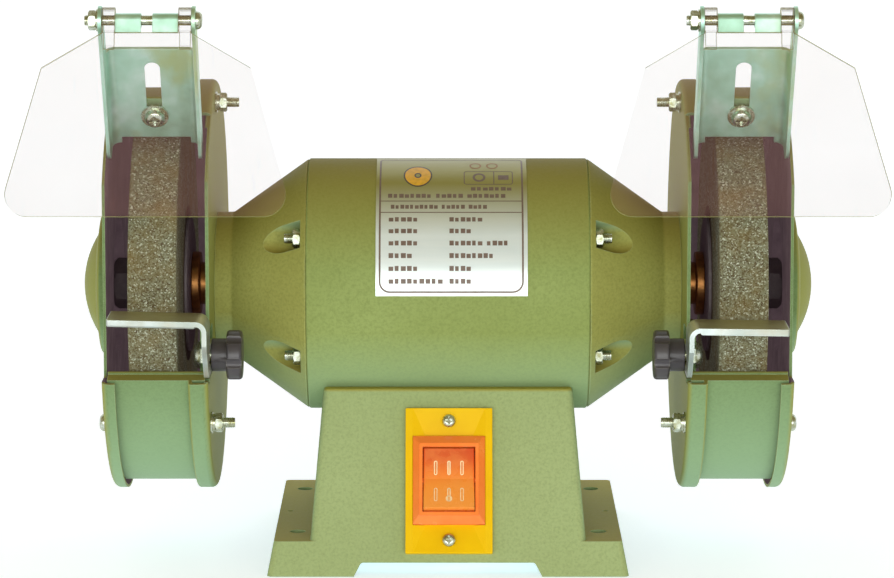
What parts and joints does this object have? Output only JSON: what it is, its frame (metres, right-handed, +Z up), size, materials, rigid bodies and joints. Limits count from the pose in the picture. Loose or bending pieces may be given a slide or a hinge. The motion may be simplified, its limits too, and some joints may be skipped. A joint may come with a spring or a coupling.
{
  "type": "bench grinder",
  "caption": "Bench grinder: an electric motor on a cast base drives a guarded grinding wheel at each end, with tool rests, spark brackets and clear eye shields.",
  "frame": {"origin": "on the bench, at the centre of the four base bolt holes, under the middle of the arbor", "axes": "+X to the right along the arbor, -Y towards the user at the front, +Z up"},
  "size_m": [0.3528, 0.2006, 0.2379],
  "materials": {
    "green_paint": "hammertone gloss",
    "zinc_sheet": "zinc plated sheet",
    "zinc_screws": "zinc plated",
    "grinding_stone": "coarse bonded abrasive",
    "clear_plastic": "clear polycarbonate",
    "black_plastic": "moulded",
    "yellow_plastic": "moulded",
    "orange_plastic": "moulded",
    "orange_lens": "translucent",
    "rating_plate": "printed foil",
    "shaft_steel": "ground",
    "lamination_steel": "stacked sheet",
    "winding_copper": "varnished wire",
    "cast_aluminium": "cast",
    "flange_steel": "pressed, darkened",
    "coppery_bush": "turned",
    "blotter_paper": "card",
    "terminal_brass": "plated",
    "white_plastic": "moulded"
  },
  "bodies": {
    "housing": {"base_bottom_plate": "zinc_sheet", "base_casting": "green_paint", "bearing_balls": "shaft_steel", "bearing_outer_rings": "shaft_steel", "bearing_preload_spring": "shaft_steel", "bottom_plate_screws": "zinc_screws", "cable_gland": "black_plastic", "capacitor_clip": "zinc_sheet", "guard_bolts": "zinc_screws", "guard_flange_screws": "zinc_screws", "guard_nuts": "zinc_screws", "left_end_bell": "green_paint", "left_guard_cover": "green_paint", "left_inner_guard": "green_paint", "motor_mount_screws": "zinc_screws", "motor_shell": "green_paint", "motor_tie_rods": "zinc_screws", "rating_plate": "rating_plate", "rest_carriage_bolts": "zinc_screws", "right_end_bell": "green_paint", "right_guard_cover": "green_paint", "right_inner_guard": "green_paint", "run_capacitor": "cast_aluminium", "spark_bracket_screws": "zinc_screws", "stator_core": "lamination_steel", "stator_windings": "winding_copper", "switch_bezel": "yellow_plastic", "switch_body": "black_plastic", "switch_frame": "orange_plastic", "switch_screws": "zinc_screws", "switch_terminals": "terminal_brass", "terminal_block": "white_plastic", "tie_rod_nuts": "zinc_screws"},
    "rotor": {"shaft": "shaft_steel", "rotor_core": "lamination_steel", "rotor_end_rings": "cast_aluminium", "bearing_inner_rings": "shaft_steel", "left_wheel": "grinding_stone", "right_wheel": "grinding_stone", "wheel_blotters": "blotter_paper", "wheel_inner_flanges": "flange_steel", "wheel_outer_flanges": "flange_steel", "spacer_bushes": "coppery_bush", "arbor_nuts": "zinc_screws"},
    "rocker": {"switch_rocker": "orange_lens"},
    "left_bracket": {"left_spark_bracket": "zinc_sheet", "left_shield_bolt": "zinc_screws"},
    "left_shield": {"left_eye_shield": "clear_plastic", "left_shield_sleeves": "zinc_sheet"},
    "left_rest_pivot": {"left_rest_washer": "zinc_screws"},
    "left_rest": {"left_tool_rest": "zinc_sheet"},
    "left_knob": {"left_rest_knob": "black_plastic"},
    "right_bracket": {"right_spark_bracket": "zinc_sheet", "right_shield_bolt": "zinc_screws"},
    "right_shield": {"right_eye_shield": "clear_plastic", "right_shield_sleeves": "zinc_sheet"},
    "right_rest_pivot": {"right_rest_washer": "zinc_screws"},
    "right_rest": {"right_tool_rest": "zinc_sheet"},
    "right_knob": {"right_rest_knob": "black_plastic"}
  },
  "joints": [
    {"name": "arbor_spin", "type": "hinge", "parent": "housing", "child": "rotor", "pos_m": [0, 0, 0.1125], "axis": [1, 0, 0], "continuous": true},
    {"name": "rocker_press", "type": "hinge", "parent": "housing", "child": "rocker", "pos_m": [0.0004, -0.05915, 0.03853], "axis": [1, 0, 0], "range_deg": [0, 16]},
    {"name": "left_bracket_slide", "type": "slide", "parent": "housing", "child": "left_bracket", "axis": [0, -0.5446, 0.8387], "range_m": [-0.005, 0.0022]},
    {"name": "left_shield_tilt", "type": "hinge", "parent": "left_bracket", "child": "left_shield", "pos_m": [-0.1205, -0.08929, 0.23218], "axis": [-1, 0, 0], "range_deg": [-8, 115]},
    {"name": "left_rest_tilt", "type": "hinge", "parent": "housing", "child": "left_rest_pivot", "pos_m": [-0.0998, -0.066, 0.0925], "axis": [1, 0, 0], "range_deg": [-2, 6]},
    {"name": "left_rest_slide", "type": "slide", "parent": "left_rest_pivot", "child": "left_rest", "axis": [0, -1, 0], "range_m": [-0.001, 0.0038]},
    {"name": "left_knob_turn", "type": "hinge", "parent": "housing", "child": "left_knob", "pos_m": [-0.088, -0.066, 0.0925], "axis": [1, 0, 0], "continuous": true},
    {"name": "right_bracket_slide", "type": "slide", "parent": "housing", "child": "right_bracket", "axis": [0, -0.5446, 0.8387], "range_m": [-0.005, 0.0022]},
    {"name": "right_shield_tilt", "type": "hinge", "parent": "right_bracket", "child": "right_shield", "pos_m": [0.1205, -0.08929, 0.23218], "axis": [-1, 0, 0], "range_deg": [-8, 115]},
    {"name": "right_rest_tilt", "type": "hinge", "parent": "housing", "child": "right_rest_pivot", "pos_m": [0.0998, -0.066, 0.0925], "axis": [1, 0, 0], "range_deg": [-2, 6]},
    {"name": "right_rest_slide", "type": "slide", "parent": "right_rest_pivot", "child": "right_rest", "axis": [0, -1, 0], "range_m": [-0.001, 0.0038]},
    {"name": "right_knob_turn", "type": "hinge", "parent": "housing", "child": "right_knob", "pos_m": [0.088, -0.066, 0.0925], "axis": [1, 0, 0], "continuous": true}
  ]
}
